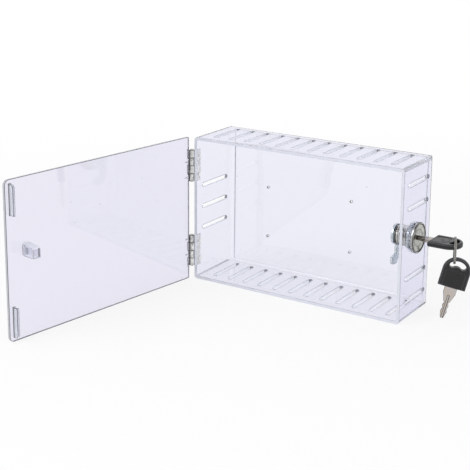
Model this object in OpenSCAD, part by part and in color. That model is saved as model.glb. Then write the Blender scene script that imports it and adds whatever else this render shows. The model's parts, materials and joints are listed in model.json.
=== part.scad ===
// Clear moulded guard box for a wall control, with a hinged door, a cam lock and two keys.
// Frame: +Z up, +X right, front towards -Y, origin in the middle of the back face.

/* [Case] */
// Width of the case across its outer faces
case_w = 170; // [150:1:200]
// Height of the case across its outer faces
case_h = 110; // [100:1:140]
// Depth of the case from the front rim to the back face
case_d = 50; // [46:1:70]
// Thickness of the moulded walls
wall = 2.2; // [1.8:0.1:3]
// Outer radius where the side walls turn into the back
side_r = 6; // [3:0.5:9]
// Outer radius where the top and bottom turn into the back
top_r = 4; // [3.5:0.5:7]
// Radius of the four corners seen from the front
front_r = 2.5; // [1.5:0.1:4.5]

/* [Vents] */
// Width of a vent slot
vent_w = 3; // [2:0.2:4]
// Length of a vent slot from front to back
vent_len = 33; // [20:1:36]
// Number of slots in the top, and in the bottom
vent_count = 12; // [6:1:12]
// Distance between neighbouring slots in the top and bottom
vent_pitch = 13.1; // [9:0.1:13.1]
// Number of slots in the left wall
left_vents = 3; // [1:1:3]
// Distance between neighbouring slots in the side walls
side_pitch = 16.5; // [10:0.5:16.5]
// Number of slots above the lock, and below it, in the right wall
lock_vents = 2; // [1:1:2]
// Height of the first of them above or below the middle
lock_vent_z = 25; // [22:0.5:27]

/* [Wall fixing] */
// Diameter of the pilot holes in the back
pilot_d = 2; // [1.5:0.1:4]
// Distance between the pilot holes from left to right
pilot_dx = 71; // [40:1:90]
// Distance between the pilot holes from top to bottom
pilot_dz = 39; // [20:1:60]
// Middle of the pilot holes to the left of the case's middle
pilot_left = 14; // [0:1:20]
// Middle of the pilot holes below the case's middle
pilot_low = 8.5; // [0:0.5:12]

/* [Door] */
// Thickness of the door
door_t = 2.2; // [1.8:0.1:3]
// Gap between the shut door and the front rim
door_gap = 0.25; // [0.2:0.05:0.6]
// Angle at which the door stands open
door_open = 98.5; // [0:0.5:180]
// Corner radius at the free edge
door_r = 3.6; // [2:0.2:6]
// Corner radius at the hinged edge
door_hinge_r = 1.4; // [0.6:0.2:3]
// Length of a locating lip
lip_len = 21; // [10:1:28]
// Thickness of a locating lip
lip_t = 1.8; // [1.2:0.1:2.4]
// How far a locating lip reaches into the case
lip_reach = 4.2; // [2:0.1:6]
// Gap between a locating lip and the right wall
lip_gap = 0.9; // [0.6:0.1:2]

/* [Hinges] */
// Height of a hinge
hinge_h = 24; // [18:1:30]
// Distance of a hinge's middle from the nearer end of the case
hinge_end = 22; // [17:1:25]
// Outer radius of the rolled knuckles
knuckle_r = 2; // [1.8:0.1:2.4]
// Radius of the hinge pin
pin_r = 0.8; // [0.6:0.05:1]
// Running clearance between a knuckle and its pin
pin_fit = 0.05; // [0.03:0.01:0.08]
// Thickness of the hinge leaves
leaf_t = 0.7; // [0.5:0.1:0.9]
// Width of the leaf on the case
leaf_w = 6.2; // [5.6:0.1:8]
// Gap between the knuckles and the plane of the case's side
knuckle_gap = 0.35; // [0.3:0.05:0.5]
// Shank radius of the rivets in the case leaf
rivet_r = 0.8; // [0.6:0.1:0.9]
// Shank radius of the studs in the door's edge
stud_r = 0.5; // [0.4:0.05:0.6]
// Depth of the studs in the door's edge
stud_depth = 4; // [3:0.5:6]

/* [Lock] */
// Distance of the lock's axis behind the front rim
lock_back = 23.5; // [22:0.5:25]
// Height of the lock's axis above the case's middle
lock_up = 1.6; // [0:0.1:3]
// Radius of the lock's head
head_r = 11; // [10:0.5:12]
// How far the head stands off the wall
head_t = 2.6; // [2.2:0.1:3.5]
// Radius of the threaded body
body_r = 7.5; // [7.3:0.1:8]
// Half the distance across the body's two flats
body_flat = 6.6; // [6.4:0.1:6.8]
// Length of the body behind the outer face of the wall
body_len = 13.5; // [12.5:0.5:15]
// Thickness of the fixing nut
nut_t = 2.6; // [2:0.1:3.5]
// Distance across the nut's flats
nut_af = 18; // [17:0.5:20]
// Radius of the plug that turns in the body
plug_r = 5; // [4.8:0.05:5]
// Running clearance round the plug
plug_fit = 0.05; // [0.03:0.01:0.08]
// Number of wafers
wafer_count = 5; // [3:1:5]
// Thickness of a wafer
wafer_t = 1; // [0.8:0.05:1.1]
// Distance between neighbouring wafers
wafer_pitch = 2; // [1.6:0.1:2]

/* [Cam and catch] */
// Thickness of the cam
cam_t = 1.8; // [1.4:0.1:2]
// Length of the cam from the lock's axis to its end
cam_len = 21.6; // [21:0.2:22]
// Radius of the cam's hub
hub_r = 7.3; // [7:0.1:7.4]
// Width of the cam's arm
arm_w = 6.2; // [5:0.1:7]
// How far the hook stands out from the arm's front edge
hook_reach = 6.3; // [5:0.1:6.6]
// Distance from the lock's axis to the inner edge of the hook
hook_in = 14.6; // [14.4:0.1:15]
// Width of the catch block
catch_w = 5.8; // [5:0.1:7]
// Side clearance between the cam and the catch's slot
catch_gap = 0.8; // [0.5:0.05:0.9]
// Thickness of the catch's lip
catch_lip = 2; // [1.5:0.1:2.2]

/* [Keys] */
// Length of the bitted blade
blade_len = 12.4; // [11:0.1:12.4]
// Full width of the bitted blade
blade_w = 4.5; // [4.4:0.1:5]
// Thickness of the blade
blade_t = 1.8; // [1.4:0.1:1.8]
// Width of the groove milled along each face of the blade
groove_w = 1.3; // [0.8:0.1:1.5]
// Depth of that groove
groove_depth = 0.45; // [0.2:0.05:0.5]
// Length of the wide neck between blade and bow
neck_len = 10.4; // [8:0.2:12]
// Width of the neck
neck_w = 8.4; // [7:0.2:10]
// Length of the plastic bow
bow_len = 21.5; // [21:0.5:24]
// Width of the plastic bow
bow_w = 18.8; // [18.6:0.1:20]
// Thickness of the plastic bow
bow_t = 3.8; // [3.4:0.1:4]
// Width of the rim outside the bow's slot
bow_rim = 2.1; // [2:0.05:2.2]
// Width of the bow's curved slot in its middle
bow_slot = 4.2; // [4:0.1:4.4]
// Radius of the slot's inner arc
slot_in_r = 4.1; // [3.6:0.1:4.6]
// Angle to either side at which the slot's round ends start
slot_span = 44; // [36:1:46]

/* [Key ring] */
// Outer diameter of the ring
ring_d = 18.4; // [18:0.1:18.6]
// Thickness of the ring's wire
ring_wire = 1.2; // [1.1:0.05:1.3]
// Width of the ring's two turns side by side
ring_width = 1.6; // [1.4:0.1:1.8]
// Direction in which the ring lies, as an angle from the key's axis
ring_angle = 66; // [65:1:67]
// Lean of the hanging key
spare_lean = 14; // [0:0.5:14]

/* [Hidden] */

$fn = 64;
// Overshoot of a cut past the face it opens
over = 1;
// Clearance between pieces that only touch
slip = 0.05;

// Planes of the case
left_x = -case_w / 2;
right_x = case_w / 2;
front_y = -case_d;

// Hinge axis, seen from above
hinge_z = case_h / 2 - hinge_end;
hinge_x = left_x - knuckle_gap - knuckle_r;
hinge_y = front_y + 0.2;
knuckle_count = 4;
knuckle_h = hinge_h / knuckle_count;
knuckle_slit = 0.3;
knuckle_clear = 0.25;
leaf_split = 0.15;
relief_depth = 0.8;
relief_slack = 0.4;
pin_head_r = 1.3;
pin_head_t = 0.5;
rivet_head_r = 1.4;
rivet_head_t = 0.5;
rivet_y = hinge_y + leaf_w - 2;
rivet_z = hinge_h / 2 - 5;

// Inner radius of the corners seen from the front
inner_front_r = max(front_r - wall, 0.4);

// Angle that the plug turns through
lock_turn = 90;

// Lock axis and the places along it, measured outwards from the wall's outer face
lock_y = front_y + lock_back;
lock_z = lock_up;
hole_slack = 0.1;
washer_t = 0.8;
washer_r = nut_af / 2 + 0.4;
washer_teeth = 12;
washer_out = -wall;
nut_out = washer_out - washer_t;
plug_head_r = 6;
plug_face = 1.3;
plug_head_t = 1.5;
keyway_w = blade_w + 0.3;
keyway_t = blade_t + 0.3;
stop_t = 0.8;
stop_r = plug_r + 0.9;
lobe_half = 35;
stop_slack = 1;
spindle = 5.6;
cam_back = -body_len - stop_t;
cam_tip = cam_back - cam_t;
spring_washer_t = 0.6;
spring_washer_r = 3.1;
screw_r = 1.5;
screw_head_r = 3;
screw_head_t = 1.6;
screw_len = 4;

// Wafers and their springs
wafer_w = 4.2;
wafer_len = 8.6;
wafer_slot = wafer_t + 0.12;
wafer_first = -2.6;
wafer_lug = 1.2;
spring_r = 0.45;
spring_len = 2.6;

// Catch on the door, in the shut position
arm_front = 0.2;
catch_x = right_x + cam_back - cam_t / 2;
catch_base = 1.2;
catch_low = lock_z + arm_front + 0.3;
catch_pocket_top = lock_z + hook_reach + 0.5;
catch_top = catch_pocket_top + 2.2;
catch_top_nose = catch_pocket_top + 0.9;
catch_nose_y = lock_y - hook_in + 0.3 + catch_lip;
door_in_y = front_y - door_gap;

// Keys
key_x = right_x + plug_face + 0.25;
bow_round = bow_w / 2;
bow_centre = neck_len + bow_len - bow_round;
slot_out = bow_round - bow_rim;
slot_shift = slot_out - bow_slot - slot_in_r;
bow_edge = 0.7;
panel_depth = 0.3;
tang_len = 12.5;
tang_w = 8.6;
tip_w = 2.2;
tip_len = 1.6;
bits = [1.9, 2.4, 1.8, 2.3, 1.7];
bit_flat = 0.7;

// Key ring, hung in the slot of the key that is in the lock
ring_r = (ring_d - ring_wire) / 2;
ring_dir = [cos(ring_angle), -sin(ring_angle), 0];
ring_start = 3.95;
ring_sag = 0.55;
ring_reach = ring_r + 2.1;
ring_centre = [key_x + bow_centre + ring_start, lock_y, lock_z - ring_sag] + ring_reach * ring_dir;
spare_hang = 30;
spare_gap = 0.55;
hang_r = slot_out - spare_gap - ring_wire / 2;
hang_point = ring_centre - [0, 0, ring_r];

// A rectangle with round corners, centred
module rounded_rect(w, h, r) {
    square([w - 2 * r, h], center = true);
    square([w, h - 2 * r], center = true);
    for (sx = [-1, 1], sy = [-1, 1])
        translate([sx * (w / 2 - r), sy * (h / 2 - r)]) circle(r);
}

// A rectangle from y = -d to y = 0 whose two corners at y = 0 are round
module tray_outline(w, d, r) {
    translate([-w / 2, -d]) square([w, d - r]);
    translate([-w / 2 + r, -d]) square([w - 2 * r, d]);
    for (s = [-1, 1])
        translate([s * (w / 2 - r), -r]) circle(r);
}

// A block with its back at y = 0 and every back edge rounded
module tray(w, h, d, r_side, r_top, r_front) {
    intersection() {
        linear_extrude(h, center = true) tray_outline(w, d, r_side);
        rotate([0, 90, 0]) linear_extrude(w, center = true) tray_outline(h, d, r_top);
        rotate([90, 0, 0]) linear_extrude(d) rounded_rect(w, h, r_front);
    }
}

// A straight slot with round ends along X, centred, cut along Z
module long_slot(len, w, depth) {
    cube([len - w, w, depth], center = true);
    for (s = [-1, 1])
        translate([s * (len - w) / 2, 0, 0]) cylinder(h = depth, d = w, center = true);
}

// A slice of a pie from angle a0 to angle a1, wider than anything it cuts
module wedge(a0, a1, r, h) {
    steps = ceil((a1 - a0) / 60);
    linear_extrude(h)
        polygon(concat([[0, 0]], [for (i = [0 : steps])
            let (a = a0 + (a1 - a0) * i / steps) 2 * r * [cos(a), sin(a)]]));
}

// Puts what is drawn along +Z on the lock's axis, pointing out of the right wall;
// its +X then hangs down and its -Y looks to the front
module at_lock() {
    translate([right_x, lock_y, lock_z]) rotate([0, 90, 0]) children();
}

// Swings what is drawn for the shut door to the angle at which the door stands
module at_door() {
    translate([hinge_x, hinge_y, 0]) rotate([0, 0, -door_open])
        translate([-hinge_x, -hinge_y, 0]) children();
}

// Draws a hinge piece in the upper place, or mirrored in the lower one
module at_hinge(upper) {
    if (upper) translate([0, 0, hinge_z]) children();
    else mirror([0, 0, 1]) translate([0, 0, hinge_z]) children();
}

module vents() {
    mid_y = front_y / 2;
    for (i = [0 : vent_count - 1], s = [-1, 1])
        translate([(i - (vent_count - 1) / 2) * vent_pitch, mid_y, s * case_h / 2])
            rotate([0, 0, 90]) long_slot(vent_len, vent_w, 4 * wall);
    for (i = [0 : left_vents - 1])
        translate([left_x, mid_y, (i - (left_vents - 1) / 2) * side_pitch])
            rotate([90, 0, 90]) long_slot(vent_len, vent_w, 4 * wall);
    for (i = [0 : lock_vents - 1], s = [-1, 1])
        translate([right_x, mid_y, s * (lock_vent_z + i * side_pitch)])
            rotate([90, 0, 90]) long_slot(vent_len, vent_w, 4 * wall);
}

module case() {
    color([0.88, 0.88, 0.94, 0.35])
    difference() {
        tray(case_w, case_h, case_d, side_r, top_r, front_r);
        translate([0, -wall, 0])
            tray(case_w - 2 * wall, case_h - 2 * wall, case_d - wall + over,
                side_r - wall, max(top_r - wall, 0.4), inner_front_r);
        vents();
        for (sx = [-1, 1], sz = [-1, 1])
            translate([-pilot_left + sx * pilot_dx / 2, over, -pilot_low + sz * pilot_dz / 2])
                rotate([90, 0, 0]) cylinder(h = wall + 2 * over, d = pilot_d);
        at_lock() translate([0, 0, -wall - over]) intersection() {
            cylinder(h = wall + 2 * over, r = body_r + hole_slack);
            translate([-body_flat - hole_slack, -head_r, 0])
                cube([2 * (body_flat + hole_slack), 2 * head_r, wall + 2 * over]);
        }
        for (upper = [true, false])
            at_hinge(upper) for (s = [-1, 1])
                translate([left_x - over, rivet_y, s * rivet_z])
                    rotate([0, 90, 0]) cylinder(h = wall + 2 * over, r = rivet_r, $fn = 24);
    }
}

// Knuckles number first, first + 2 and so on, counted from the top
module knuckles(first, r, slit) {
    for (i = [first : 2 : knuckle_count - 1])
        translate([hinge_x, hinge_y, hinge_h / 2 - (i + 1) * knuckle_h + slit / 2])
            cylinder(h = knuckle_h - slit, r = r, $fn = 48);
}

module pin_bore() {
    translate([hinge_x, hinge_y, -hinge_h / 2 - over])
        cylinder(h = hinge_h + 2 * over, r = pin_r + pin_fit, $fn = 32);
}

module case_leaf(upper) {
    color([0.72, 0.72, 0.7])
    at_hinge(upper) difference() {
        union() {
            difference() {
                translate([left_x - leaf_t, hinge_y + leaf_split, -hinge_h / 2])
                    cube([leaf_t, leaf_w - leaf_split, hinge_h]);
                knuckles(1, knuckle_r + knuckle_clear, -knuckle_slit);
            }
            knuckles(0, knuckle_r, knuckle_slit);
        }
        pin_bore();
        for (s = [-1, 1])
            translate([left_x - leaf_t - over, rivet_y, s * rivet_z])
                rotate([0, 90, 0]) cylinder(h = leaf_t + 2 * over, r = rivet_r, $fn = 24);
    }
}

module door_leaf(upper) {
    low_y = door_in_y - door_t;
    color([0.72, 0.72, 0.7])
    at_door() at_hinge(upper) difference() {
        union() {
            difference() {
                translate([left_x - leaf_t, low_y, -hinge_h / 2])
                    cube([leaf_t, hinge_y - leaf_split - low_y, hinge_h]);
                knuckles(0, knuckle_r + knuckle_clear, -knuckle_slit);
            }
            knuckles(1, knuckle_r, knuckle_slit);
        }
        pin_bore();
        studs_at(stud_r);
    }
}

module hinge_pin(upper) {
    color([0.8, 0.8, 0.78])
    at_hinge(upper) translate([hinge_x, hinge_y, 0]) {
        cylinder(h = hinge_h, r = pin_r, center = true, $fn = 32);
        for (s = [0, 1])
            mirror([0, 0, s]) translate([0, 0, hinge_h / 2])
                cylinder(h = pin_head_t, r = pin_head_r, $fn = 32);
    }
}

module case_leaf_rivets() {
    shank = leaf_t + wall;
    color([0.8, 0.8, 0.78])
    for (upper = [true, false])
        at_hinge(upper) for (s = [-1, 1])
            translate([left_x - leaf_t, rivet_y, s * rivet_z]) rotate([0, 90, 0]) {
                cylinder(h = shank, r = rivet_r, $fn = 24);
                translate([0, 0, -rivet_head_t]) cylinder(h = rivet_head_t, r = rivet_head_r, $fn = 32);
                translate([0, 0, shank]) cylinder(h = rivet_head_t, r = rivet_head_r, $fn = 32);
            }
}

// The studs sit beside the knuckles of the door leaf
module studs_at(r) {
    for (i = [1 : 2 : knuckle_count - 1])
        translate([left_x - leaf_t, door_in_y - door_t / 2, hinge_h / 2 - (i + 0.5) * knuckle_h])
            rotate([0, 90, 0]) cylinder(h = leaf_t + stud_depth, r = r, $fn = 24);
}

module door_leaf_studs() {
    color([0.8, 0.8, 0.78])
    at_door() for (upper = [true, false])
        at_hinge(upper) studs_at(stud_r);
}

module door_outline() {
    difference() {
        union() {
            translate([left_x, -case_h / 2 + door_hinge_r])
                square([case_w - door_r, case_h - 2 * door_hinge_r]);
            translate([left_x + door_hinge_r, -case_h / 2])
                square([case_w - door_hinge_r - door_r, case_h]);
            translate([right_x - door_r - over, -case_h / 2 + door_r])
                square([door_r + over, case_h - 2 * door_r]);
            for (s = [-1, 1]) {
                translate([left_x + door_hinge_r, s * (case_h / 2 - door_hinge_r)]) circle(door_hinge_r);
                translate([right_x - door_r, s * (case_h / 2 - door_r)]) circle(door_r);
            }
        }
        for (s = [-1, 1], i = [0 : 2 : knuckle_count - 1])
            translate([left_x, s * (hinge_z + hinge_h / 2 - (i + 0.5) * knuckle_h)])
                square([2 * relief_depth, knuckle_h + relief_slack], center = true);
    }
}

// A locating lip, rounded at its outer end, that slips inside the right wall
module locating_lip() {
    end_r = lip_reach * 0.6;
    lip_x = right_x - wall - lip_gap - lip_t;
    lip_end = case_h / 2 - wall - 0.6;
    translate([lip_x, door_in_y, lip_end]) rotate([0, 90, 0]) linear_extrude(lip_t) {
        square([lip_len, lip_reach - end_r]);
        translate([end_r, 0]) square([lip_len - end_r, lip_reach]);
        translate([end_r, lip_reach - end_r]) circle(end_r);
    }
}

module door_panel() {
    color([0.86, 0.86, 0.92, 0.4])
    at_door() difference() {
        union() {
            translate([0, door_in_y, 0]) rotate([90, 0, 0]) linear_extrude(door_t) door_outline();
            locating_lip();
            mirror([0, 0, 1]) locating_lip();
        }
        for (upper = [true, false])
            at_hinge(upper) studs_at(stud_r);
    }
}

// A slotted block on the inner face of the door; the cam's hook comes up into it from below
module catch_block() {
    nose_r = 1.6;
    pocket_y = door_in_y + catch_base;
    color([0.82, 0.84, 0.93, 0.5])
    at_door() difference() {
        translate([catch_x - catch_w / 2, 0, 0]) rotate([90, 0, 90]) linear_extrude(catch_w)
            union() {
                polygon([
                    [door_in_y, catch_low],
                    [catch_nose_y, catch_low],
                    [catch_nose_y, catch_top_nose - nose_r],
                    [catch_nose_y - nose_r, catch_top_nose],
                    [door_in_y, catch_top]
                ]);
                translate([catch_nose_y - nose_r, catch_top_nose - nose_r]) circle(nose_r, $fn = 32);
            }
        translate([catch_x - cam_t / 2 - catch_gap, pocket_y, catch_low - over])
            cube([
                cam_t + 2 * catch_gap,
                catch_nose_y - catch_lip - pocket_y,
                catch_pocket_top - catch_low + over
            ]);
    }
}

// Head with a raised rim and a dished face, and a body with two flats
module lock_body() {
    rim_w = 1.1;
    seat_r = plug_head_r + 2 * plug_fit;
    channel_w = wafer_w + 0.3;
    channel_r = plug_r + 1;
    channel_len = wafer_count * wafer_pitch + 1;
    stop_lap = 1.3;
    color([0.78, 0.78, 0.76])
    at_lock() difference() {
        union() {
            rotate_extrude($fn = 96) polygon([
                [0, 0],
                [head_r, 0],
                [head_r, head_t - 0.6],
                [head_r - 0.5, head_t],
                [head_r - rim_w, head_t],
                [head_r - rim_w - 0.4, head_t - 0.5],
                [seat_r + 0.3, plug_face - 0.1],
                [0, plug_face - 0.1]
            ]);
            intersection() {
                translate([0, 0, -body_len]) cylinder(h = body_len + slip, r = body_r);
                translate([-body_flat, -head_r, -body_len])
                    cube([2 * body_flat, 2 * head_r, body_len + slip]);
            }
            intersection() {
                translate([0, 0, -body_len - stop_t]) difference() {
                    cylinder(h = stop_t + slip, r = body_flat);
                    translate([0, 0, -over]) cylinder(h = stop_t + 2 * over, r = stop_r + slip);
                }
                translate([0, 0, -body_len - stop_t])
                    wedge(lobe_half + stop_slack, 360 - lock_turn - lobe_half - stop_slack,
                        head_r, stop_t + slip);
            }
        }
        translate([0, 0, -body_len - stop_t - over])
            cylinder(h = body_len + stop_t + head_t + 2 * over, r = plug_r + plug_fit);
        translate([0, 0, plug_face - plug_head_t - slip])
            cylinder(h = head_t, r = seat_r);
        for (a = [0, 90]) rotate([0, 0, a])
            translate([-channel_w / 2, -channel_r, wafer_first - channel_len + wafer_pitch / 2 + 0.5])
                cube([channel_w, 2 * channel_r, channel_len]);
    }
}

module lock_washer() {
    tooth = 0.9;
    color([0.7, 0.7, 0.68])
    at_lock() translate([0, 0, washer_out - washer_t]) difference() {
        cylinder(h = washer_t, r = washer_r);
        translate([0, 0, -over]) cylinder(h = washer_t + 2 * over, r = body_r + hole_slack);
        for (i = [0 : washer_teeth - 1])
            rotate([0, 0, i * 360 / washer_teeth]) translate([washer_r, 0, washer_t / 2])
                cube([2 * tooth, tooth, washer_t + over], center = true);
    }
}

module lock_nut() {
    corner_r = nut_af / sqrt(3);
    color([0.74, 0.74, 0.72])
    at_lock() translate([0, 0, nut_out - nut_t]) difference() {
        intersection() {
            cylinder(h = nut_t, r = corner_r, $fn = 6);
            cylinder(h = nut_t, r = corner_r - 0.4);
        }
        translate([0, 0, -over]) cylinder(h = nut_t + 2 * over, r = body_r + slip);
    }
}

// Middle of wafer number i along the lock's axis
function wafer_z(i) = wafer_first - i * wafer_pitch;

module lock_plug() {
    keyway_end = -body_len + 1.6;
    color([0.8, 0.8, 0.77])
    at_lock() difference() {
        union() {
            translate([0, 0, -body_len]) cylinder(h = body_len + plug_face - slip, r = plug_r);
            translate([0, 0, plug_face - plug_head_t])
                cylinder(h = plug_head_t, r = plug_head_r);
            translate([-spindle / 2, -spindle / 2, cam_tip])
                cube([spindle, spindle, cam_t + stop_t + slip]);
        }
        translate([-keyway_t / 2, -keyway_w / 2, keyway_end])
            cube([keyway_t, keyway_w, body_len + plug_face]);
        translate([0, 0, cam_tip - over]) cylinder(h = screw_len + over, r = screw_r, $fn = 32);
        for (i = [0 : wafer_count - 1]) translate([0, 0, wafer_z(i)]) {
            cube([wafer_w + 0.1, 2 * plug_r + over, wafer_slot], center = true);
            translate([wafer_w / 2 - slip, -spring_len / 2 - slip, -wafer_slot / 2])
                cube([wafer_lug + 2 * slip, spring_len + wafer_lug + 0.6, wafer_slot]);
        }
    }
}

module lock_wafers() {
    color([0.8, 0.66, 0.36])
    at_lock() for (i = [0 : wafer_count - 1]) translate([0, 0, wafer_z(i)]) {
        difference() {
            cube([wafer_w, wafer_len, wafer_t], center = true);
            cube([keyway_t + 0.1, keyway_w + 0.1, wafer_t + over], center = true);
        }
        translate([wafer_w / 2 - slip, spring_len / 2, -wafer_t / 2])
            cube([wafer_lug + slip, wafer_lug, wafer_t]);
    }
}

module wafer_springs() {
    color([0.6, 0.6, 0.62])
    at_lock() for (i = [0 : wafer_count - 1])
        translate([wafer_w / 2 + wafer_lug / 2 + slip, -spring_len / 2, wafer_z(i)])
            rotate([-90, 0, 0]) cylinder(h = spring_len, r = spring_r, $fn = 24);
}

module square_hole(h) {
    translate([0, 0, h / 2])
        cube([spindle + 2 * slip, spindle + 2 * slip, h + 2 * over], center = true);
}

// Disc with a lobe that runs between the two ends of the body's stop
module stop_washer() {
    color([0.7, 0.7, 0.68])
    at_lock() translate([0, 0, -body_len - stop_t]) difference() {
        union() {
            cylinder(h = stop_t, r = stop_r - slip);
            intersection() {
                cylinder(h = stop_t, r = body_flat);
                wedge(-lobe_half, lobe_half, head_r, stop_t);
            }
        }
        square_hole(stop_t);
    }
}

// Hub, offset arm and hooked end, cut from one plate
module cam_outline() {
    hook_slope = 1.2;
    root = 11;
    union() {
        circle(hub_r);
        intersection() {
            circle(cam_len, $fn = 96);
            polygon([
                [0, arm_front],
                [root, arm_front],
                [hook_in, -arm_front],
                [hook_in + hook_slope, -hook_reach],
                [cam_len - 1.5, -hook_reach],
                [cam_len, -hook_reach + 2.5],
                [cam_len, 1],
                [cam_len - 4, 4.4],
                [root, arm_w],
                [0, arm_w]
            ]);
        }
    }
}

module cam() {
    color([0.74, 0.77, 0.8])
    at_lock() translate([0, 0, cam_tip]) difference() {
        linear_extrude(cam_t) cam_outline();
        square_hole(cam_t);
    }
}

// Split ring washer under the cam's screw
module cam_spring_washer() {
    color([0.66, 0.66, 0.68])
    at_lock() translate([0, 0, cam_tip - spring_washer_t]) difference() {
        cylinder(h = spring_washer_t, r = spring_washer_r, $fn = 48);
        translate([0, 0, -over]) cylinder(h = spring_washer_t + 2 * over, r = screw_r + slip, $fn = 32);
        translate([screw_r, -0.3, -over]) cube([spring_washer_r, 0.6, spring_washer_t + 2 * over]);
    }
}

module cam_screw() {
    head_out = cam_tip - spring_washer_t;
    slot_w = 0.8;
    slot_depth = 0.8;
    tip_clear = 0.3;
    color([0.76, 0.76, 0.78])
    at_lock() difference() {
        union() {
            translate([0, 0, head_out])
                cylinder(h = spring_washer_t + screw_len - tip_clear, r = screw_r, $fn = 32);
            translate([0, 0, head_out - screw_head_t])
                cylinder(h = screw_head_t, r1 = screw_head_r - 0.7, r2 = screw_head_r, $fn = 48);
        }
        translate([-screw_head_r, -slot_w / 2, head_out - screw_head_t - over])
            cube([2 * screw_head_r, slot_w, over + slot_depth]);
    }
}

// Outline of the blade from its tip at -X to the end of its tang at +X, bitted on both edges
function bit_x(i) = -blade_len + tip_len + (i + 0.5) * (blade_len - tip_len) / len(bits);
function blade_edge() = concat(
    [[-blade_len, tip_w / 2 - 0.5], [-blade_len + 0.5, tip_w / 2]],
    [for (i = [0 : len(bits) - 1], s = [-1, 1]) [bit_x(i) + s * bit_flat / 2, bits[i] * blade_w / 5]],
    [[0, blade_w / 2], [neck_len * 0.5, neck_w / 2 - 0.3], [neck_len * 0.55, neck_w / 2],
        [neck_len - 0.2, neck_w / 2], [neck_len - 0.2, tang_w / 2], [neck_len + tang_len, tang_w / 2]]
);

module blade_plate() {
    edge = blade_edge();
    groove_end = neck_len * 0.4;
    difference() {
        linear_extrude(blade_t, center = true)
            polygon(concat(edge, [for (i = [len(edge) - 1 : -1 : 0]) [edge[i][0], -edge[i][1]]]));
        for (s = [0, 1])
            mirror([0, 0, s]) translate([0, 0, blade_t / 2 - groove_depth]) {
                translate([-blade_len - over, -groove_w / 2, 0])
                    cube([blade_len + over + groove_end, groove_w, groove_depth + over]);
                translate([groove_end, 0, 0]) cylinder(h = groove_depth + over, d = groove_w, $fn = 32);
            }
    }
}

// Outline of the bow with its flat side at x = neck_len, moved in by inset
module bow_outline(inset) {
    straight = bow_len - bow_round;
    translate([neck_len + inset, -bow_w / 2 + inset])
        square([straight - inset, bow_w - 2 * inset]);
    translate([bow_centre, 0]) circle(bow_round - inset, $fn = 48);
}

// Curved slot: its inner arc has its own centre, and both ends are round
module crescent(h) {
    end_in = slot_shift * cos(slot_span)
        + sqrt(pow(slot_in_r, 2) - pow(slot_shift * sin(slot_span), 2));
    intersection() {
        difference() {
            cylinder(h = h, r = slot_out, center = true, $fn = 64);
            translate([slot_shift, 0, 0]) cylinder(h = h + over, r = slot_in_r, center = true, $fn = 64);
        }
        translate([0, 0, -h / 2]) wedge(-slot_span, slot_span, bow_round, h);
    }
    for (s = [-1, 1])
        rotate([0, 0, s * slot_span]) translate([(slot_out + end_in) / 2, 0, 0])
            cylinder(h = h, d = slot_out - end_in, center = true, $fn = 32);
}

module bow_plate() {
    difference() {
        hull() {
            linear_extrude(bow_t - 2 * bow_edge, center = true) bow_outline(0);
            linear_extrude(bow_t, center = true) bow_outline(bow_edge);
        }
        translate([bow_centre, 0, 0]) crescent(bow_t + over);
        translate([neck_len - over, -tang_w / 2 - slip, -blade_t / 2 - slip])
            cube([over + tang_len + slip, tang_w + 2 * slip, blade_t + 2 * slip]);
        for (s = [0, 1])
            mirror([0, 0, s]) translate([neck_len + 2, -bow_w / 2 + 2.6, bow_t / 2 - panel_depth])
                linear_extrude(over) rounded_panel(bow_len - bow_round - 2, bow_w - 5.2);
    }
}

// Shallow flat panel in each face of the bow
module rounded_panel(l, w) {
    translate([0, w / 2]) rounded_rect(2 * l, w, 2);
}

module at_key() {
    translate([key_x, lock_y, lock_z]) children();
}

// Hangs a flat key by its slot on the lowest point of the ring
module at_spare() {
    pivot = [bow_centre + hang_r * cos(spare_hang), -hang_r * sin(spare_hang), 0];
    translate(hang_point) rotate([0, 0, -ring_angle]) rotate([-spare_lean, 0, 0])
        rotate([0, -90, 0]) translate(-pivot) children();
}

module key_blade() {
    color([0.8, 0.76, 0.7]) at_key() blade_plate();
}

module key_bow() {
    color([0.12, 0.12, 0.13]) at_key() bow_plate();
}

module spare_key_blade() {
    color([0.8, 0.76, 0.7]) at_spare() blade_plate();
}

module spare_key_bow() {
    color([0.12, 0.12, 0.13]) at_spare() bow_plate();
}

// Split ring: two turns of flat wire with a groove between them, each cut once
module key_ring() {
    groove = 0.25;
    cut = 0.3;
    cut_angle = 24;
    color([0.75, 0.75, 0.77])
    translate(ring_centre) rotate([0, 0, -ring_angle]) rotate([90, 0, 0]) difference() {
        rotate_extrude($fn = 96) translate([ring_r, 0]) difference() {
            rounded_rect(ring_wire, ring_width, 0.35);
            for (s = [-1, 1])
                translate([s * ring_wire / 2, 0]) rotate(45) square(groove, center = true);
        }
        for (s = [0, 1])
            mirror([0, 0, s]) rotate([0, 0, s ? -cut_angle : cut_angle])
                translate([ring_r, 0, ring_width / 2])
                    cube([2 * ring_wire, cut, ring_width], center = true);
    }
}

case();
case_leaf(true);  // upper_case_leaf
case_leaf(false);  // lower_case_leaf
hinge_pin(true);  // upper_hinge_pin
hinge_pin(false);  // lower_hinge_pin
case_leaf_rivets();
lock_body();
lock_washer();
lock_nut();
door_panel();
catch_block();
door_leaf(true);  // upper_door_leaf
door_leaf(false);  // lower_door_leaf
door_leaf_studs();
lock_plug();
lock_wafers();
wafer_springs();
stop_washer();
cam();
cam_spring_washer();
cam_screw();
key_blade();
key_bow();
key_ring();
spare_key_blade();
spare_key_bow();
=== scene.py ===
"""Looks for the clear guard box: mouldings with softened edges, plated metal, keys and the studio."""

import json
import math

import bmesh
import bpy
from bpy.props import FloatProperty, FloatVectorProperty, PointerProperty
from bpy.types import NodeSocket, Operator, Panel, PropertyGroup
from mathutils import Matrix, Vector

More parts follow.
